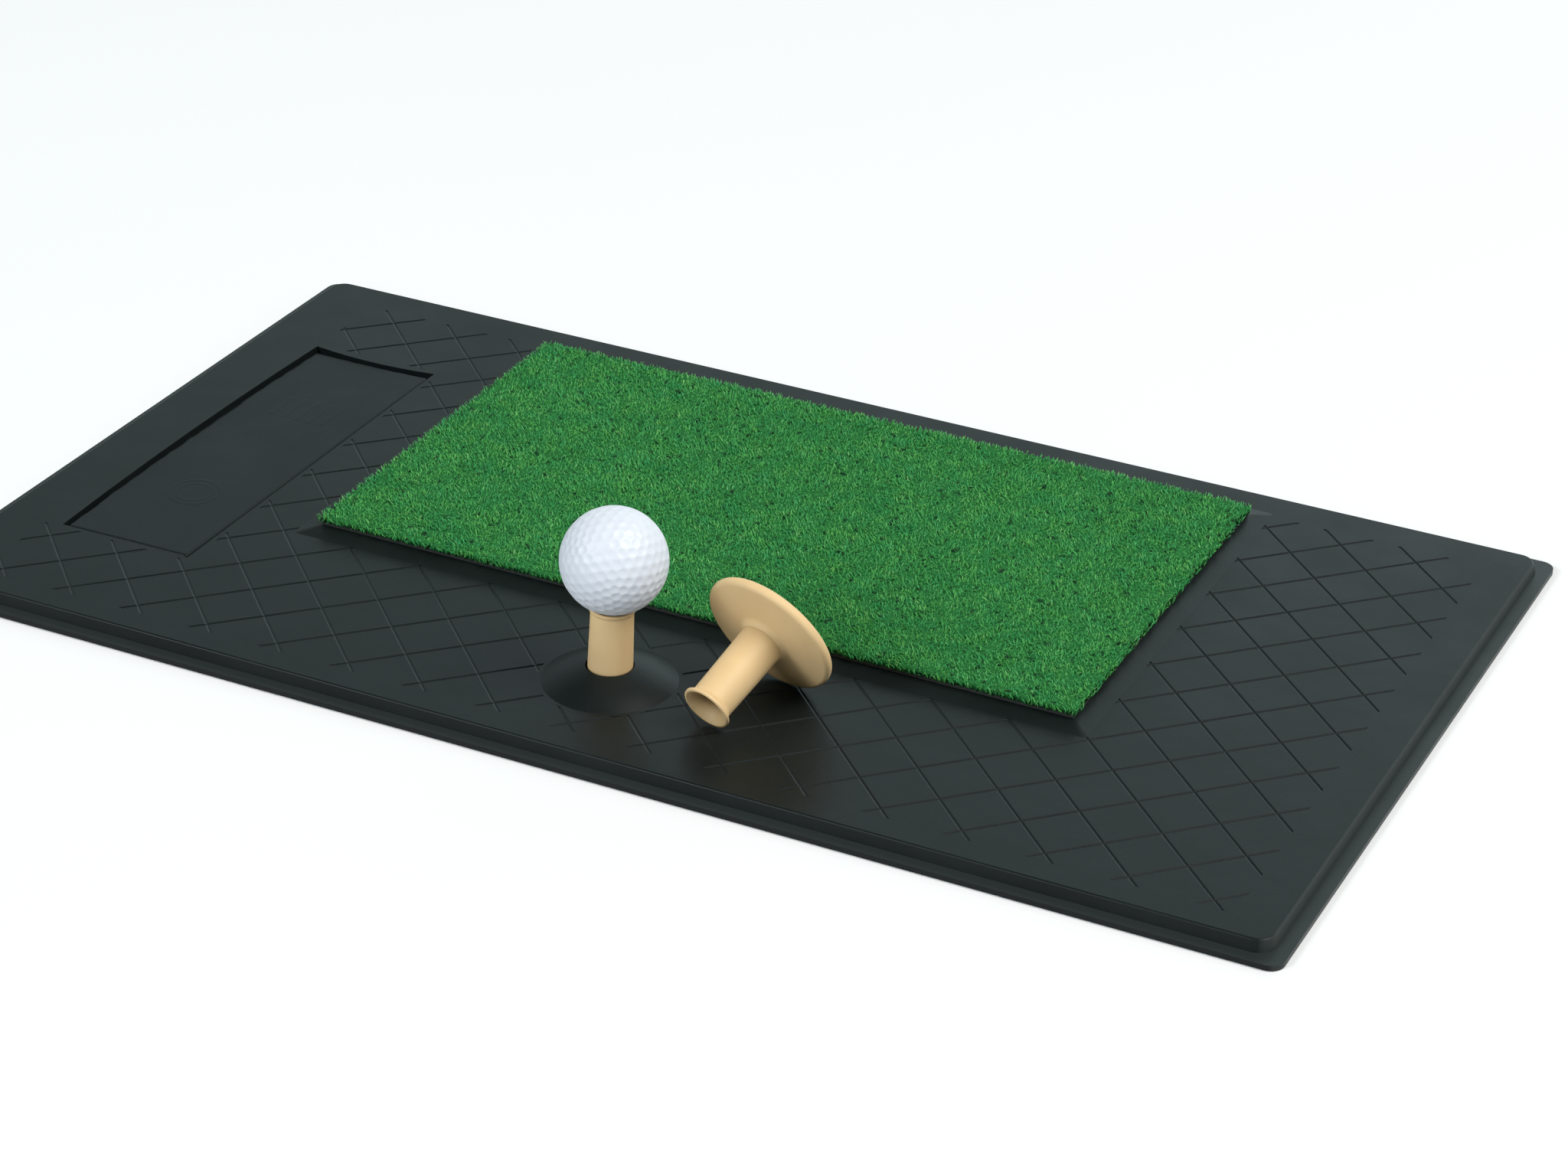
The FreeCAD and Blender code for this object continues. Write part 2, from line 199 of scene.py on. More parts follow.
def noise(tree, size, detail=2.0, roughness=0.5):
    """Noise whose features are about size metres wide."""
    place = object_position(tree)
    inputs = {"Vector": place, "Scale": 1 / size, "Detail": detail, "Roughness": roughness}
    return add_node(tree, "ShaderNodeTexNoise", inputs).outputs["Fac"]


def spread(tree, value, low, high, to_low=0.0, to_high=1.0):
    """Maps a range of a value to another range."""
    inputs = {"Value": value, "From Min": low, "From Max": high}
    inputs.update({"To Min": to_low, "To Max": to_high})
    return add_node(tree, "ShaderNodeMapRange", inputs).outputs["Result"]


def mixed(tree, factor, a, b):
    """A colour between two colours."""
    made = add_node(tree, "ShaderNodeMix", data_type="RGBA")
    for key, value in (("Factor", factor), ("A", a), ("B", b)):
        socket = next(s for s in made.inputs if s.name == key and s.enabled)
        if isinstance(value, bpy.types.NodeSocket):
            tree.links.new(value, socket)
        else:
            socket.default_value = value if key == "Factor" else (*value, 1.0)
    return next(s for s in made.outputs if s.enabled)


def product(tree, a, b):
    """Two values multiplied."""
    return add_node(tree, "ShaderNodeMath", {0: a, 1: b}, operation="MULTIPLY").outputs[0]


def coloured(tree, shader, colour):
    """Links a colour to a shader's base."""
    tree.links.new(colour, shader.inputs["Base Color"])


def roughened(tree, shader, roughness):
    """Links a roughness to a shader."""
    tree.links.new(roughness, shader.inputs["Roughness"])


def bumped(tree, shader, layers):
    """Stacks bump layers of (height socket, depth in metres, strength) onto a shader."""
    normal = None
    for height, depth, strength in layers:
        inputs = {"Height": height, "Distance": depth, "Strength": strength}
        if normal is not None:
            inputs["Normal"] = normal
        normal = add_node(tree, "ShaderNodeBump", inputs).outputs["Normal"]
    tree.links.new(normal, shader.inputs["Normal"])


def ramp(tree, value, stops):
    """A colour ramp from (position, colour) stops."""
    made = add_node(tree, "ShaderNodeValToRGB", {"Fac": value})
    elements = made.color_ramp.elements
    while len(elements) < len(stops):
        elements.new(0.5)
    for element, (position, colour) in zip(elements, stops):
        element.position = position
        element.color = (*colour, 1.0)
    return made.outputs["Color"]


# ---- materials -------------------------------------------------------------------------------
def mat_rubber():
    """Satin black rubber: cloudy tone and gloss, fine grain, painted sheen on the flange top and
    painted light on the right end's walls.
    """
    material, tree, shader = new_material("mat_rubber", IOR=1.45, Specular_IOR_Level=0.2)
    clouds = noise(tree, 45.0 * MM, 3.0, 0.6)
    grain = noise(tree, 0.9 * MM, 2.0)
    waves = noise(tree, 30.0 * MM, 2.0)
    tone = spread(tree, clouds, 0.3, 0.7)
    dark, light = (0.0056, 0.0082, 0.0078), (0.0080, 0.0112, 0.0107)
    # Painted light: a lighter colour on the flange top stands in for its sheen, and one on the right
    # end's walls stands in for the key lamp's light on them.
    flange_sheen_colour, wall_light_colour = (0.0205, 0.0262, 0.0252), (0.0235, 0.0290, 0.0280)
    place = axes(tree, object_position(tree))
    facing = axes(tree, add_node(tree, "ShaderNodeNewGeometry").outputs["Normal"])
    low = spread(tree, place["Z"], FLANGE_LEVEL, FLANGE_LEVEL + FLANGE_BLEND, 1.0, 0.0)
    level = spread(tree, facing["Z"], 0.8, 0.95)
    right_end = spread(tree, place["X"], RIGHT_END, RIGHT_END + RIGHT_END_BLEND)
    # Where the painted sheen goes: level faces below the flange level.
    on_flange = product(tree, low, level)
    # Painted light: walls at the right end that face +X, towards the key lamp, are coloured lighter.
    painted_wall_light = product(tree, spread(tree, facing["X"], 0.25, 0.6), right_end)
    base = mixed(tree, on_flange, mixed(tree, tone, dark, light), flange_sheen_colour)
    coloured(tree, shader, mixed(tree, painted_wall_light, base, wall_light_colour))
    roughened(tree, shader, spread(tree, clouds, 0.25, 0.75, 0.34, 0.46))
    bumped(tree, shader, [(waves, 0.6 * MM, 0.35), (grain, 0.06 * MM, 0.5)])
    return material


def plate_rubber():
    """Fine-grained rubber, a little duller than the mat."""
    material, tree, shader = new_material("plate_rubber", IOR=1.45, Specular_IOR_Level=0.2)
    clouds = noise(tree, 30.0 * MM, 3.0, 0.6)
    grain = noise(tree, 0.7 * MM, 2.0)
    tone = spread(tree, clouds, 0.3, 0.7)
    dark, light = (0.0056, 0.0082, 0.0082), (0.0080, 0.0112, 0.0112)
    coloured(tree, shader, mixed(tree, tone, dark, light))
    roughened(tree, shader, spread(tree, clouds, 0.25, 0.75, 0.38, 0.50))
    bumped(tree, shader, [(grain, 0.06 * MM, 0.6)])
    return material


def tee_rubber():
    """Satin tan rubber with a faint cloudiness and moulded grain, darkened to brown by painted shade
    inside its hollows.
    """
    material, tree, shader = new_material("tee_rubber", IOR=1.45, Specular_IOR_Level=0.35)
    clouds = noise(tree, 18.0 * MM, 3.0, 0.55)
    grain = noise(tree, 0.6 * MM, 2.0)
    tone = spread(tree, clouds, 0.3, 0.7)
    dark, light = (0.700, 0.486, 0.246), (0.748, 0.526, 0.275)
    hollow_shade_brown = (0.170, 0.090, 0.026)
    tan = mixed(tree, tone, dark, light)
    # Painted shade: ambient occlusion turns the tan brown in hollows and where parts close in on it.
    reach = {"Distance": TEE_HOLLOW_REACH}
    openness = add_node(tree, "ShaderNodeAmbientOcclusion", reach).outputs["AO"]
    painted_hollow_shade = spread(tree, openness, 0.2, 0.65, 1.0, 0.0)
    coloured(tree, shader, mixed(tree, painted_hollow_shade, tan, hollow_shade_brown))
    roughened(tree, shader, spread(tree, clouds, 0.3, 0.7, 0.48, 0.58))
    bumped(tree, shader, [(grain, 0.03 * MM, 0.4)])
    return material


def ball_cover():
    """Satin white ball cover with very faint toning and a thin coat."""
    material, tree, shader = new_material("ball_cover", IOR=1.5, Coat_Weight=0.1, Coat_Roughness=0.3)
    clouds = noise(tree, 14.0 * MM, 2.0)
    tone = spread(tree, clouds, 0.3, 0.7)
    dark, light = (0.640, 0.670, 0.733), (0.670, 0.700, 0.763)
    coloured(tree, shader, mixed(tree, tone, dark, light))
    roughened(tree, shader, spread(tree, clouds, 0.3, 0.7, 0.45, 0.55))
    return material


def ball_core():
    """Matte rubber of the ball's core."""
    material, tree, shader = new_material("ball_core", Roughness=0.7)
    speckle = noise(tree, 1.2 * MM, 2.0)
    coloured(tree, shader, mixed(tree, speckle, (0.62, 0.36, 0.11), (0.75, 0.45, 0.15)))
    bumped(tree, shader, [(speckle, 0.1 * MM, 0.4)])
    return material


def glue():
    """Cured glue, slightly uneven."""
    material, tree, shader = new_material("glue", Roughness=0.45)
    clouds = noise(tree, 6.0 * MM, 3.0)
    coloured(tree, shader, mixed(tree, clouds, (0.36, 0.33, 0.26), (0.50, 0.47, 0.38)))
    bumped(tree, shader, [(clouds, 0.2 * MM, 0.5)])
    return material


def latex():
    """Matte dark latex with fine pits."""
    material, tree, shader = new_material("latex", Roughness=0.8)
    pits = noise(tree, 1.5 * MM, 3.0)
    coloured(tree, shader, mixed(tree, pits, (0.010, 0.012, 0.011), (0.030, 0.034, 0.030)))
    bumped(tree, shader, [(pits, 0.2 * MM, 0.6)])
    return material


def woven_backing():
    """Black woven tape backing: warp and weft at right angles."""
    material, tree, shader = new_material("woven_backing", Roughness=0.75)
    place = object_position(tree)
    weave = []
    inputs = {"Vector": place, "Scale": 90.0, "Distortion": 0.4}
    for direction in ("X", "Y"):
        tapes = add_node(tree, "ShaderNodeTexWave", inputs, bands_direction=direction)
        weave.append(tapes.outputs["Fac"])
    crossed = product(tree, *weave)
    coloured(tree, shader, mixed(tree, crossed, (0.010, 0.012, 0.010), (0.035, 0.040, 0.034)))
    bumped(tree, shader, [(crossed, 0.3 * MM, 0.6)])
    return material


def turf_specks(tree):
    """1 in small dark spots scattered over the turf, 0 elsewhere."""
    return spread(tree, noise(tree, TURF_SPECK_SIZE, 1.0), 0.30, 0.36, 1.0, 0.0)


def turf_yarn():
    """Nylon yarn: a green of its own for every yarn, in uneven patches with small dark spots."""
    material, tree, shader = new_material("turf_yarn", Specular_IOR_Level=0.25)
    each = add_node(tree, "ShaderNodeNewGeometry").outputs["Random Per Island"]
    greens = [
        (0.00, (0.038, 0.228, 0.058)),
        (0.15, (0.051, 0.310, 0.080)),
        (0.60, (0.061, 0.368, 0.093)),
        (0.90, (0.086, 0.410, 0.102)),
        (1.00, (0.176, 0.500, 0.176)),
    ]
    own = ramp(tree, each, greens)
    patches = spread(tree, noise(tree, 9.0 * MM, 3.0, 0.75), 0.36, 0.64)
    cool, warm = (0.62, 0.88, 1.02), (1.46, 1.12, 0.96)
    tinted = add_node(tree, "ShaderNodeMix", data_type="RGBA", blend_type="MULTIPLY")
    tinted.inputs["Factor"].default_value = 1.0
    tree.links.new(own, tinted.inputs["A"])
    tree.links.new(mixed(tree, patches, cool, warm), tinted.inputs["B"])
    speckled = mixed(tree, turf_specks(tree), tinted.outputs["Result"], (0.012, 0.060, 0.022))
    coloured(tree, shader, speckled)
    roughened(tree, shader, spread(tree, each, 0.0, 1.0, 0.55, 0.42))
    return material


def turf_thatch():
    """The dark green depth of the pile between the yarn tips, coloured darker than the yarns as
    painted shade.
    """
    material, tree, shader = new_material("turf_thatch", Roughness=0.9, Specular_IOR_Level=0.1)
    fibres = noise(tree, 1.0 * MM, 3.0, 0.7)
    # Painted shade: the pile's depth gets a darker green than the yarns.
    pile = mixed(tree, fibres, (0.010, 0.080, 0.019), (0.034, 0.220, 0.055))
    coloured(tree, shader, mixed(tree, turf_specks(tree), pile, (0.010, 0.050, 0.018)))
    bumped(tree, shader, [(fibres, 0.8 * MM, 1.0)])
    return material


def floor_paint():
    """Pale matte studio floor."""
    material, tree, shader = new_material("floor_paint", Roughness=0.85, Specular_IOR_Level=0.1)
    clouds = noise(tree, 600.0 * MM, 2.0)
    coloured(tree, shader, mixed(tree, clouds, (0.80, 0.80, 0.80), (0.82, 0.82, 0.82)))
    return material


# ---- mesh helpers ----------------------------------------------------------------------------
def mesh_object(name, vertices, faces, material, smooth=True):
    """A mesh object from (n, 3) vertices and a list of face arrays, one per face size."""
    mesh = bpy.data.meshes.new(name)
    mesh.vertices.add(len(vertices))
    mesh.vertices.foreach_set("co", np.asarray(vertices, np.float32).ravel())
    corners = np.concatenate([f.ravel() for f in faces]).astype(np.int32)
    sizes = np.concatenate([np.full(len(f), f.shape[1]) for f in faces])
    mesh.loops.add(len(corners))
    mesh.loops.foreach_set("vertex_index", corners)
    mesh.polygons.add(len(sizes))
    mesh.polygons.foreach_set("loop_start", (np.cumsum(sizes) - sizes).astype(np.int32))
    mesh.polygons.foreach_set("use_smooth", np.full(len(sizes), smooth))
    mesh.update(calc_edges=True)
    mesh.validate()
    made = bpy.data.objects.new(name, mesh)
    bpy.context.scene.collection.objects.link(made)
    mesh.materials.append(material)
    return made


def slab_faces(columns, rows):
    """Faces of a closed slab: a top grid, a bottom grid below it and the wall between them."""
    index = np.arange(columns * rows).reshape(rows, columns)
    a, b = index[:-1, :-1].ravel(), index[:-1, 1:].ravel()
    c, d = index[1:, 1:].ravel(), index[1:, :-1].ravel()
    below = columns * rows
    rim = np.concatenate([index[0, :-1], index[:-1, -1], index[-1, :0:-1], index[:0:-1, 0]])
    following = np.roll(rim, -1)
    top = np.c_[a, b, c, d]
    bottom = np.c_[d, c, b, a] + below
    wall = np.c_[rim + below, following + below, following, rim]
    return [np.concatenate([top, bottom, wall])]


def smooth_noise(rng, shape, cells):
    """Smooth random values in about -1 to 1 on a grid, from a coarse grid of cells."""
    coarse = rng.uniform(-1, 1, (cells[1] + 2, cells[0] + 2))
    y = np.linspace(0, cells[1], shape[0])
    x = np.linspace(0, cells[0], shape[1])
    y0, x0 = y.astype(int), x.astype(int)
    fy, fx = y - y0, x - x0
    fy, fx = (fy * fy * (3 - 2 * fy))[:, None], (fx * fx * (3 - 2 * fx))[None, :]
    low = coarse[y0][:, x0] * (1 - fx) + coarse[y0][:, x0 + 1] * fx
    high = coarse[y0 + 1][:, x0] * (1 - fx) + coarse[y0 + 1][:, x0 + 1] * fx
    return low * (1 - fy) + high * fy


def sample(field, x, y):
    """Values of a grid field at places given as shares 0 to 1 of its width and height."""
    rows, columns = field.shape
    i = np.clip((y * rows).astype(int), 0, rows - 1)
    j = np.clip((x * columns).astype(int), 0, columns - 1)
    return field[i, j]


# ---- turf ------------------------------------------------------------------------------------
def yarn_arrays(roots, rise, reach, heading, curl, radius, rng):
    """Closed, curled, tapering three-sided yarns. Each has three rings, a tip and a base face."""
    count = len(roots)
    forward = np.c_[np.cos(heading), np.sin(heading), np.zeros(count)]
    sideways = np.c_[-np.sin(heading), np.cos(heading), np.zeros(count)]
    up = np.array([0.0, 0.0, 1.0])
    phase = rng.uniform(0, 2 * np.pi, count)
    turns = rng.uniform(*YARN_TURNS, count)
    twist = rng.uniform(0, 2 * np.pi, count)

    def centre(t):
        """The yarns' middle lines at a share t of their length."""
        swing = curl * (np.sin(phase + 2 * np.pi * turns * t) - np.sin(phase))
        droop = 1 - YARN_DROOP * t * (reach / rise)
        along = forward * (reach * t ** YARN_BEND)[:, None]
        return roots + along + sideways * swing[:, None] + up * (rise * t * droop)[:, None]

    rings = []
    for t, share in zip(YARN_RING_STEPS, YARN_RING_TAPER):
        middle = centre(t)
        for k in range(3):
            angle = twist + k * 2 * np.pi / 3 + t
            out = np.c_[np.cos(angle), np.sin(angle), np.zeros(count)]
            rings.append(middle + out * (radius * share)[:, None])
    rings.append(centre(1.0))
    vertices = np.stack(rings, 1).reshape(-1, 3)
    first = np.arange(count)[:, None] * len(rings)
    quads = []
    for ring in range(len(YARN_RING_STEPS) - 1):
        for k in range(3):
            a, b = 3 * ring + k, 3 * ring + (k + 1) % 3
            quads.append(first + np.array([[a, b, b + 3, a + 3]]))
    last = 3 * (len(YARN_RING_STEPS) - 1)
    tip = 3 * len(YARN_RING_STEPS)
    triangles = [first + np.array([[last + k, last + (k + 1) % 3, tip]]) for k in range(3)]
    triangles.append(first + np.array([[2, 1, 0]]))
    return vertices, [np.concatenate(quads), np.concatenate(triangles)]


def yarn_plan(rng):
    """Every yarn's place along X as a share, root, rise, reach, heading, curl and radius.

    Heights and headings follow smooth fields with a scatter of their own. Yarns near the border
    lean out and make a fringe.
    """
    low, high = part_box("turf_pile")
    size = high - low
    columns, rows = int(size.x / YARN_PITCH), int(size.y / YARN_PITCH)
    x, y = np.meshgrid((np.arange(columns) + 0.5) / columns, (np.arange(rows) + 0.5) / rows)
    x = np.clip(x.ravel() + rng.uniform(-0.5, 0.5, x.size) / columns, 0, 1)
    y = np.clip(y.ravel() + rng.uniform(-0.5, 0.5, y.size) / rows, 0, 1)
    count = len(x)
    drift = smooth_noise(rng, (rows, columns), HEADING_DRIFT_CELLS)
    clumps = smooth_noise(rng, (rows, columns), HEADING_CLUMP_CELLS)
    height_field = smooth_noise(rng, (rows, columns), YARN_HEIGHT_CELLS)
    heading = sample(drift, x, y) * HEADING_DRIFT + sample(clumps, x, y) * HEADING_CLUMPS
    heading = heading + rng.normal(0, HEADING_SCATTER, count) + HEADING_MEAN
    tallness = 0.5 + YARN_HEIGHT_PATCHES * sample(height_field, x, y)
    tallness = np.clip(tallness + rng.normal(0, YARN_HEIGHT_SCATTER, count), 0, 1)
    rise = YARN_HEIGHT[0] + (YARN_HEIGHT[1] - YARN_HEIGHT[0]) * tallness
    reach = rng.uniform(*YARN_LEAN, count)
    px, py = low.x + x * size.x, low.y + y * size.y
    edge = FRINGE_ROWS * YARN_PITCH
    gaps = np.stack([px - low.x, high.x - px, py - low.y, high.y - py])
    outward = np.array([math.pi, 0.0, -math.pi / 2, math.pi / 2])[gaps.argmin(0)]
    nearness = np.clip(1 - gaps.min(0) / edge, 0, 1)
    is_edge = rng.uniform(0, 1, count) < nearness
    heading = np.where(is_edge, outward + rng.normal(0, FRINGE_SCATTER, count), heading)
    reach = np.where(is_edge, reach * FRINGE_LEAN_SHARE + FRINGE_EXTRA_LEAN, reach)
    roots = np.c_[px, py, np.full(count, low.z + YARN_ROOT_HEIGHT)]
    roots[:, 2] -= nearness * FRINGE_ROOT_DROP
    curl = YARN_CURL * rng.uniform(*YARN_CURL_RANGE, count)
    radius = YARN_RADIUS * rng.uniform(*YARN_RADIUS_RANGE, count)
    return x, (roots, rise, reach, heading, curl, radius)


def turf_yarns(material):
    """The pile's yarns, in strips along X."""
    rng = np.random.default_rng(YARN_SEED)
    x, plan = yarn_plan(rng)
    strip = np.minimum((x * YARN_STRIPS).astype(int), YARN_STRIPS - 1)
    made = []
    for number in range(YARN_STRIPS):
        chosen = [values[strip == number] for values in plan]
        arrays = yarn_arrays(*chosen, rng)
        made.append(mesh_object(f"turf_yarns_{number + 1}", *arrays, material))
    return made


def turf_thatch_block(material):
    """The closed, uneven body of the pile that the yarn tips stand out of."""
    rng = np.random.default_rng(THATCH_SEED)
    low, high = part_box("turf_pile")
    low = low + Vector((THATCH_INSET, THATCH_INSET, 0))
    high = high - Vector((THATCH_INSET, THATCH_INSET, 0))
    size = high - low
    columns, rows = int(size.x / THATCH_CELL) + 1, int(size.y / THATCH_CELL) + 1
    x, y = np.meshgrid(np.linspace(low.x, high.x, columns), np.linspace(low.y, high.y, rows))
    x = x + rng.uniform(-THATCH_JITTER, THATCH_JITTER, x.shape) * THATCH_CELL
    y = y + rng.uniform(-THATCH_JITTER, THATCH_JITTER, y.shape) * THATCH_CELL
    top = low.z + THATCH_HEIGHT + THATCH_RELIEF * rng.uniform(-1, 1, x.shape)
    upper = np.stack([x, y, top], -1).reshape(-1, 3)
    lower = upper.copy()
    lower[:, 2] = low.z
    vertices = np.concatenate([upper, lower])
    return mesh_object("turf_thatch", vertices, slab_faces(columns, rows), material)


def make_turf():
    """The turf's pile: its thatch and its strips of yarns, all riding on the mat."""
    thatch = turf_thatch_block(turf_thatch())
    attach(thatch, "mat")
    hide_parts("turf_pile")
    for strip in turf_yarns(turf_yarn()):
        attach(strip, "mat")
        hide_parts("turf_pile")


# ---- badge plate -----------------------------------------------------------------------------
def bar_profile(distance, width):
    """1 on a raised line, falling to 0 over its rounded edge."""
    return np.clip(1.5 - np.abs(distance) / (width / 2), 0, 1)


def plate_relief(x, y, centre, length):
    """Generic relief: a double ring towards one end and a row of short ribs towards the other."""
    ring_x, ring_y = centre.x, centre.y + length * PLATE_RING_PLACE
    radius = np.hypot(x - ring_x, y - ring_y)
    relief = np.zeros_like(x)
    for ring_r in PLATE_RING_R:
        relief = np.maximum(relief, bar_profile(radius - ring_r, PLATE_RING_WIDTH))
    rib_y = centre.y + length * PLATE_RIB_PLACE
    for k in range(PLATE_RIB_COUNT):
        place = centre.x + (k - (PLATE_RIB_COUNT - 1) / 2) * PLATE_RIB_PITCH
        within = np.clip((PLATE_RIB_LENGTH / 2 - np.abs(y - rib_y)) / PLATE_RIB_SLOPE, 0, 1)
        relief = np.maximum(relief, bar_profile(x - place, PLATE_RIB_WIDTH) * within)
    return relief


def rounded_corners(x, y, low, high, radius):
    """Pulls the points of a rectangular grid's corners in onto arcs."""
    for cx, sx in ((low.x + radius, -1), (high.x - radius, 1)):
        for cy, sy in ((low.y + radius, -1), (high.y - radius, 1)):
            inside = ((x - cx) * sx > 0) & ((y - cy) * sy > 0)
            span = np.hypot(x - cx, y - cy)
            reach = np.maximum(np.abs(x - cx), np.abs(y - cy))
            factor = np.where(inside & (span > 0), reach / np.maximum(span, 1e-9), 1.0)
            x, y = cx + (x - cx) * factor, cy + (y - cy) * factor
    return x, y


def make_badge_plate():
    """The thin plate in its recess: slightly warped, with soft, uneven edges and a relief."""
    rng = np.random.default_rng(PLATE_SEED)
    low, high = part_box("badge_plate")
    centre, size = (low + high) / 2, high - low
    columns, rows = int(size.x / PLATE_CELL) + 1, int(size.y / PLATE_CELL) + 1
    x, y = np.meshgrid(np.linspace(low.x, high.x, columns), np.linspace(low.y, high.y, rows))
    along, across = (x - low.x) / size.x, (y - low.y) / size.y
    tilt = PLATE_TILT * (2 * (along - across)) - PLATE_SAG
    warp = smooth_noise(rng, x.shape, PLATE_WARP_CELLS) * PLATE_WARP
    edge = np.minimum(np.minimum(x - low.x, high.x - x), np.minimum(y - low.y, high.y - y))
    drop = PLATE_EDGE_DROP * np.clip(1 - edge / PLATE_CELL, 0, 1) ** 2
    relief = plate_relief(x, y, centre, size.y) * PLATE_RELIEF
    top = high.z + tilt + warp + relief - drop
    x, y = rounded_corners(x, y, low, high, PLATE_CORNER_R)
    # The left side bows out. The left and the far side are a little ragged.
    x = x - PLATE_BOW * 4 * across * (1 - across) * (1 - along) ** PLATE_BOW_FADE
    left_noise = smooth_noise(rng, x.shape, PLATE_LEFT_CELLS)
    x = x + PLATE_RAGGED * left_noise * (1 - along) ** PLATE_LEFT_FADE
    far_noise = smooth_noise(rng, x.shape, PLATE_FAR_CELLS)
    y = y + PLATE_RAGGED * far_noise * across ** PLATE_FAR_FADE
    upper = np.stack([x, y, top], -1).reshape(-1, 3)
    lower = upper.copy()
    lower[:, 2] = low.z
    vertices = np.concatenate([upper, lower])
    plate = mesh_object("plate", vertices, slab_faces(columns, rows), plate_rubber())
    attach(plate, "mat")
    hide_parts("badge_plate")


# ---- golf ball -------------------------------------------------------------------------------
def geodesic_directions(frequency):
    """Unit vectors spread over a sphere: an icosahedron with each edge cut into equal parts."""
    solid = bmesh.new()
    bmesh.ops.create_icosphere(solid, subdivisions=1, radius=1.0)
    points = set()
    for face in solid.faces:
        a, b, c = (v.co for v in face.verts)
        for i in range(frequency + 1):
            for j in range(frequency + 1 - i):
                mix = (a * i + b * j + c * (frequency - i - j)).normalized()
                points.add(tuple(round(v, 5) for v in mix))
    solid.free()
    return np.array(sorted(points))


def dimple_depths(directions, radius):
    """How deep the dimples are at places on the ball, given as unit vectors."""
    about_x, about_y, about_z = (Matrix.Rotation(a, 3, k) for a, k in zip(BALL_TURN, "XYZ"))
    turn = np.array(about_z @ about_y @ about_x)
    dimples = geodesic_directions(DIMPLE_FREQUENCY) @ turn.T
    batches = np.array_split(directions, BALL_BATCHES)
    nearest = np.concatenate([(batch @ dimples.T).max(1) for batch in batches])
    away = np.arccos(np.clip(nearest, -1, 1)) * radius / DIMPLE_RADIUS
    return DIMPLE_DEPTH * np.clip(1 - away ** 2, 0, 1)


def make_ball():
    """The ball's cover as a sphere with a dimple at each geodesic point."""
    low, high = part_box("ball_cover")
    centre = (low + high) / 2
    radius = (high.x - low.x) / 2
    solid = bmesh.new()
    bmesh.ops.create_icosphere(solid, subdivisions=BALL_SUBDIVISIONS, radius=1.0)
    mesh = bpy.data.meshes.new("ball")
    solid.to_mesh(mesh)
    solid.free()
    directions = np.array([v.co for v in mesh.vertices], float)
    directions /= np.linalg.norm(directions, axis=1)[:, None]
    depth = dimple_depths(directions, radius)
    places = directions * (radius - depth)[:, None] + np.array(centre)
    mesh.vertices.foreach_set("co", places.astype(np.float32).ravel())
    mesh.polygons.foreach_set("use_smooth", np.ones(len(mesh.polygons), bool))
    mesh.update()
    mesh.materials.append(ball_cover())
    ball = bpy.data.objects.new("ball", mesh)
    bpy.context.scene.collection.objects.link(ball)
    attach(ball, "ball")
    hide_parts("ball_cover")


# ---- CAD nodes that stay ---------------------------------------------------------------------
def paint_cad_nodes():
    """Gives the CAD nodes that are shown as they are their materials."""
    tan = tee_rubber()
    adhesive = glue()
    looks = {
        "rubber_mat": mat_rubber(),
        "plate_glue": adhesive,
        "turf_glue": adhesive,
        "turf_latex_coating": latex(),
        "turf_woven_backing": woven_backing(),
        "tee": tan,
        "spare_tee": tan,
        "ball_core": ball_core(),
    }
    for name, material in looks.items():
        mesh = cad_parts[name].data
        mesh.materials.clear()
        mesh.materials.append(material)


# ---- studio ----------------------------------------------------------------------------------
def from_angles(azimuth, elevation):
    """The unit vector towards a place seen at an azimuth from -Y towards +X and an elevation."""
    flat = math.cos(elevation)
    return Vector((math.sin(azimuth) * flat, -math.cos(azimuth) * flat, math.sin(elevation)))


def make_floor():
    """A plain floor just under the mat."""
    mesh = bpy.data.meshes.new("studio_floor")
    signs = ((-1, -1), (1, -1), (1, 1), (-1, 1))
    corners = [(x * FLOOR_REACH, y * FLOOR_REACH, FLOOR_LEVEL) for x, y in signs]
    mesh.from_pydata(corners, [], [(0, 1, 2, 3)])
    mesh.materials.append(floor_paint())
    floor = bpy.data.objects.new("studio_floor", mesh)
    bpy.context.scene.collection.objects.link(floor)


def soft_light(name, azimuth, elevation, size, watts, colour):
    """A square area light that looks at the middle of the mat."""
    light = bpy.data.lights.new(name, "AREA")
    light.shape = "SQUARE"
    light.size = size
    light.energy = watts
    light.color = colour
    made = bpy.data.objects.new(name, light)
    bpy.context.scene.collection.objects.link(made)
    towards = from_angles(math.radians(azimuth), math.radians(elevation))
    made.location = towards * LIGHT_DISTANCE
    made.rotation_euler = (-towards).to_track_quat("-Z", "Y").to_euler()


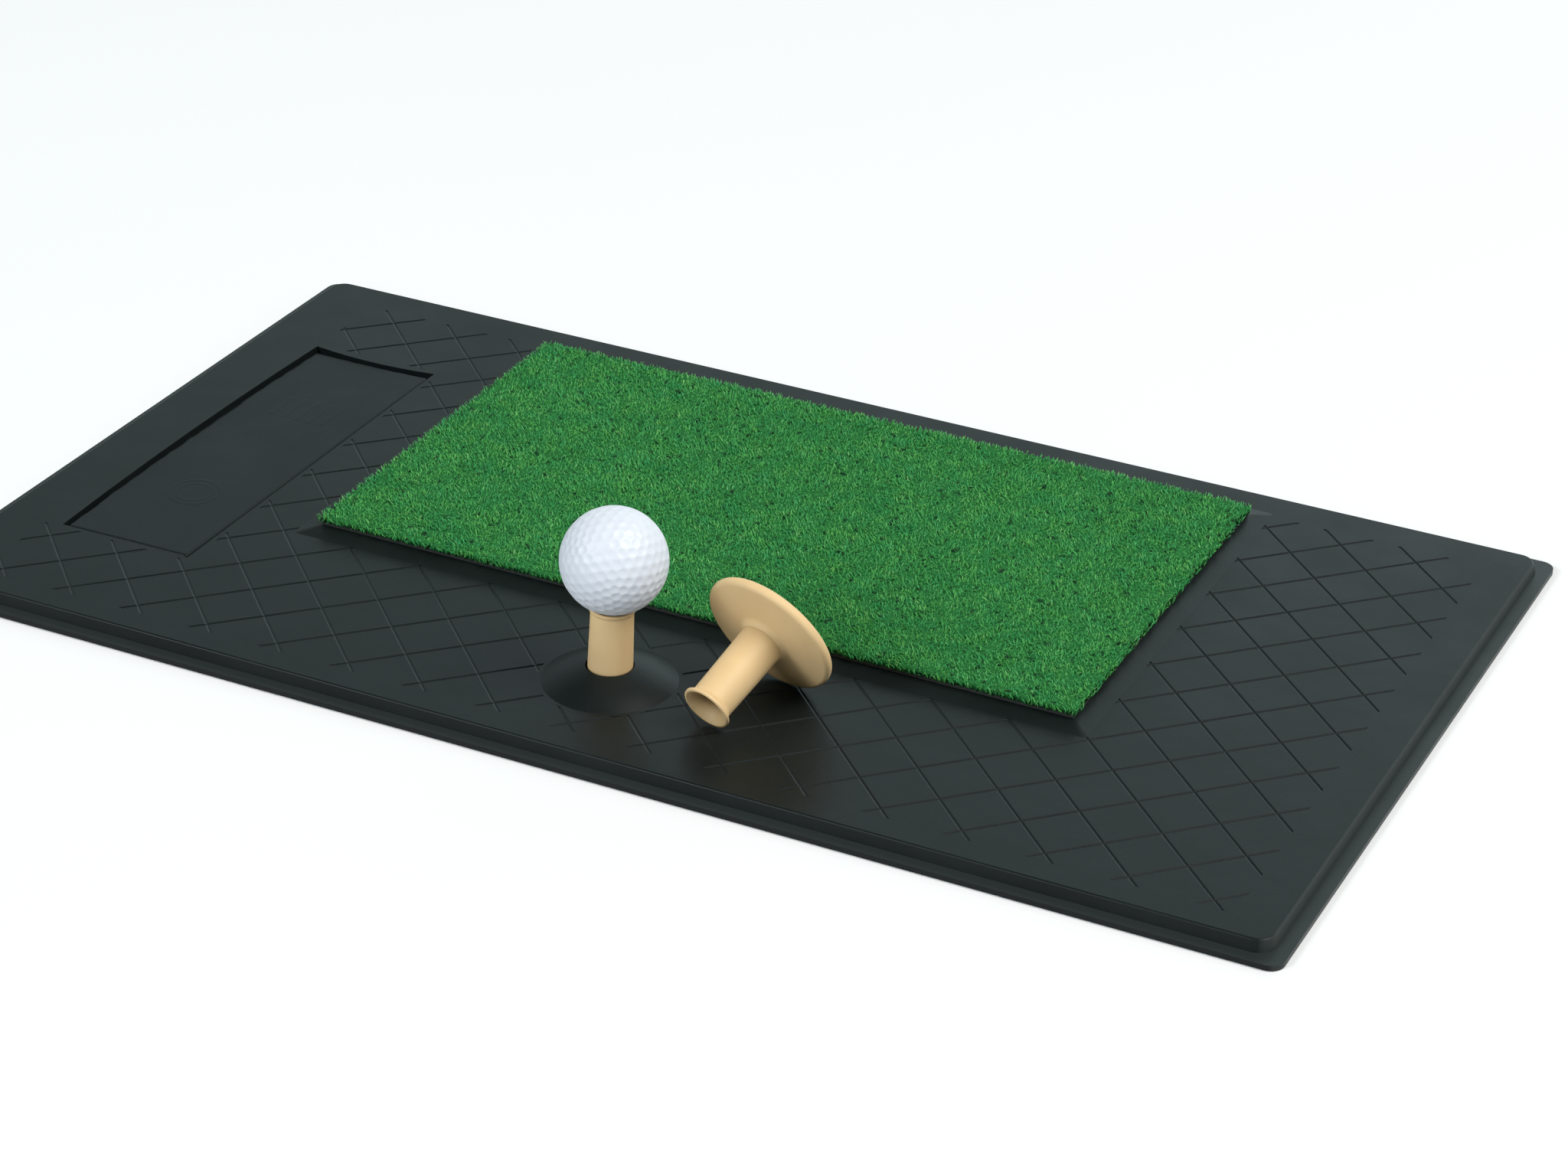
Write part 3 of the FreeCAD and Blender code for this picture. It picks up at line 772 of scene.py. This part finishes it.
def make_world():
    """Soft daylight-grey surroundings: a band low down behind the mat, brightest in its middle."""
    world = bpy.data.worlds.new("studio")
    bpy.context.scene.world = world
    world.use_nodes = True
    tree = world.node_tree
    background = tree.nodes["Background"]
    direction = axes(tree, add_node(tree, "ShaderNodeTexCoord").outputs["Generated"])
    tree.links.new(ramp(tree, direction["Z"], WORLD_BAND), background.inputs["Color"])
    left = spread(tree, direction["X"], *WORLD_LEFT)
    right = spread(tree, direction["X"], *WORLD_RIGHT)
    front_to_back = spread(tree, direction["Y"], *WORLD_FRONT_TO_BACK)
    strength = product(tree, product(tree, left, right), front_to_back)
    tree.links.new(strength, background.inputs["Strength"])


def make_camera():
    """The camera, aimed at its target from its angles and turned about its own axis."""
    camera = bpy.data.objects.new("camera", bpy.data.cameras.new("camera"))
    bpy.context.scene.collection.objects.link(camera)
    bpy.context.scene.camera = camera
    camera.data.lens = CAMERA_LENS
    camera.data.sensor_width = CAMERA_SENSOR
    camera.data.sensor_fit = "HORIZONTAL"
    camera.data.clip_start, camera.data.clip_end = CAMERA_CLIP
    back = from_angles(CAMERA_AZIMUTH, CAMERA_ELEVATION)
    right = Vector((math.cos(CAMERA_AZIMUTH), math.sin(CAMERA_AZIMUTH), 0.0))
    up = back.cross(right)
    rolled_right = right * math.cos(CAMERA_ROLL) + up * math.sin(CAMERA_ROLL)
    rolled_up = up * math.cos(CAMERA_ROLL) - right * math.sin(CAMERA_ROLL)
    turn = Matrix((rolled_right, rolled_up, back)).transposed().to_4x4()
    camera.matrix_world = Matrix.Translation(CAMERA_TARGET + back * CAMERA_DISTANCE) @ turn


def make_studio():
    """Floor, surroundings, two soft lights and the camera, with plain colour management."""
    make_floor()
    make_world()
    soft_light("key", **KEY)
    soft_light("front_left", **FRONT_LEFT)
    make_camera()
    scene = bpy.context.scene
    scene.view_settings.view_transform = "Standard"
    scene.view_settings.look = "None"
    scene.view_settings.exposure = 0.0
    scene.view_settings.gamma = 1.0


paint_cad_nodes()
make_turf()
make_badge_plate()
make_ball()
make_studio()
